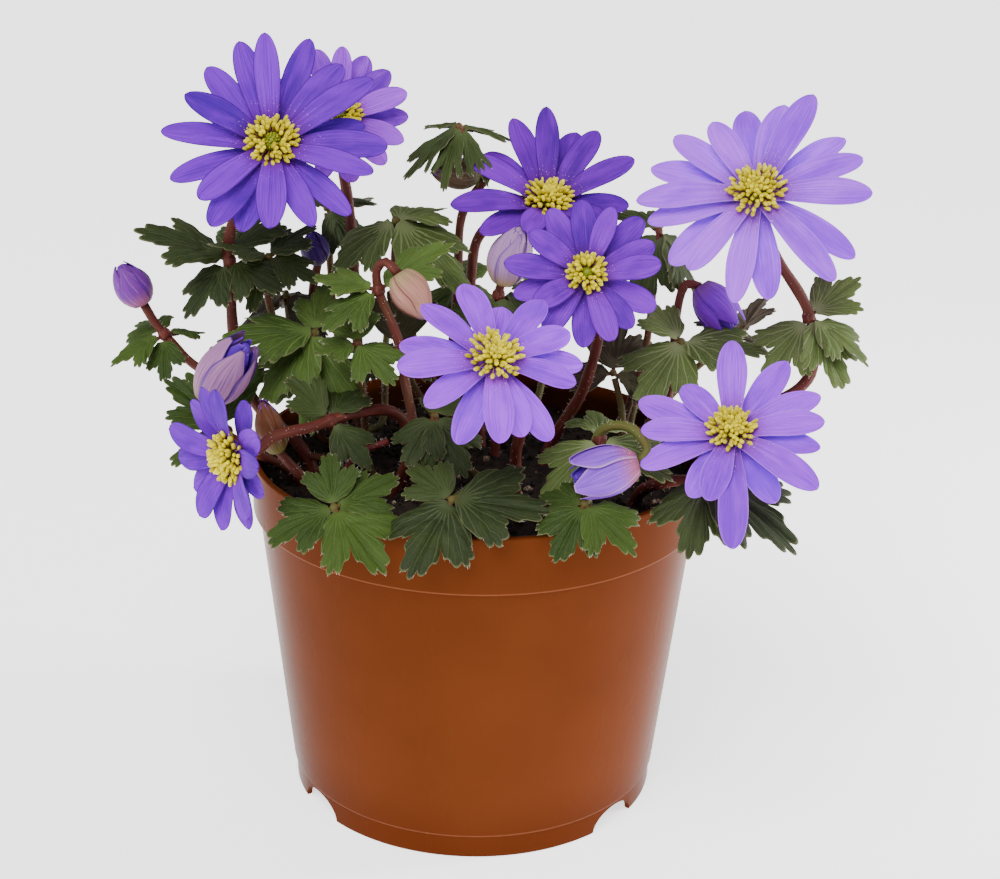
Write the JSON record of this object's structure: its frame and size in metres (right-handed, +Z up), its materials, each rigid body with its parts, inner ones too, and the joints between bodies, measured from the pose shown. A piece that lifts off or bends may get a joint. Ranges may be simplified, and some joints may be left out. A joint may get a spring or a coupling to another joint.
{
  "type": "potted flowering plant",
  "caption": "Grecian windflower with violet daisy-like blooms, buds and cut green leaves, growing in a terracotta-brown plastic nursery pot with soil.",
  "frame": {"origin": "on the floor under the middle of the pot", "axes": "+Z up, -Y towards the front, +X to the right as the front is seen"},
  "size_m": [0.1798, 0.1408, 0.1867],
  "materials": {
    "pot": "semi-gloss moulded plastic, terracotta brown",
    "soil": "dark moist potting soil",
    "stems": "red-brown downy stems and dark tubers",
    "petals": "satin violet petals with fine veins",
    "stamens": "matte lemon-yellow anthers round a green core",
    "buds": "satin violet, pink and beige wrapped petals",
    "leaves": "satin green, hairy, with paler veins"
  },
  "bodies": {
    "root": {"pot": "pot", "tuber_left": "stems", "tuber_middle": "stems", "tuber_right": "stems", "soil": "soil", "bloom_high_left_petals": "petals", "bloom_behind_left_petals": "petals", "bloom_back_middle_petals": "petals", "bloom_middle_petals": "petals", "bloom_front_middle_petals": "petals", "bloom_high_right_petals": "petals", "bloom_front_right_petals": "petals", "bloom_front_left_petals": "petals", "bloom_high_left_stamens": "stamens", "bloom_behind_left_stamens": "stamens", "bloom_back_middle_stamens": "stamens", "bloom_middle_stamens": "stamens", "bloom_front_middle_stamens": "stamens", "bloom_high_right_stamens": "stamens", "bloom_front_right_stamens": "stamens", "bloom_front_left_stamens": "stamens", "bud_left": "buds", "bud_half_open_left": "buds", "bud_nodding_middle": "buds", "bud_back_middle": "buds", "bud_large_middle": "buds", "bud_half_open_front": "buds", "bud_dark_left": "buds", "bud_nodding_right": "buds", "bud_low_left": "buds", "leaf_high_left": "leaves", "leaf_star_left": "leaves", "leaf_dark_left": "leaves", "leaf_mid_left": "leaves", "leaf_star_middle": "leaves", "leaf_nodding_bud": "leaves", "leaf_top_middle": "leaves", "leaf_behind_left": "leaves", "leaf_arching_back": "leaves", "leaf_back_middle": "leaves", "leaf_large_bud": "leaves", "leaf_behind_right": "leaves", "leaf_broad_right": "leaves", "leaf_back_right": "leaves", "leaf_high_right": "leaves", "leaf_front_right": "leaves", "leaf_half_open_front": "leaves", "leaf_rim_right": "leaves", "leaf_rim_middle": "leaves", "leaf_rim_left": "leaves", "leaf_front_left": "leaves", "leaf_under_bloom": "leaves", "leaf_bud_left": "leaves", "leaf_half_open_left": "leaves", "leaf_back_low": "leaves", "leaf_back_high": "leaves", "leaf_back_rim": "leaves", "leaf_low_left": "leaves", "leaf_low_middle": "leaves", "leaf_low_right": "leaves"}
  },
  "joints": []
}
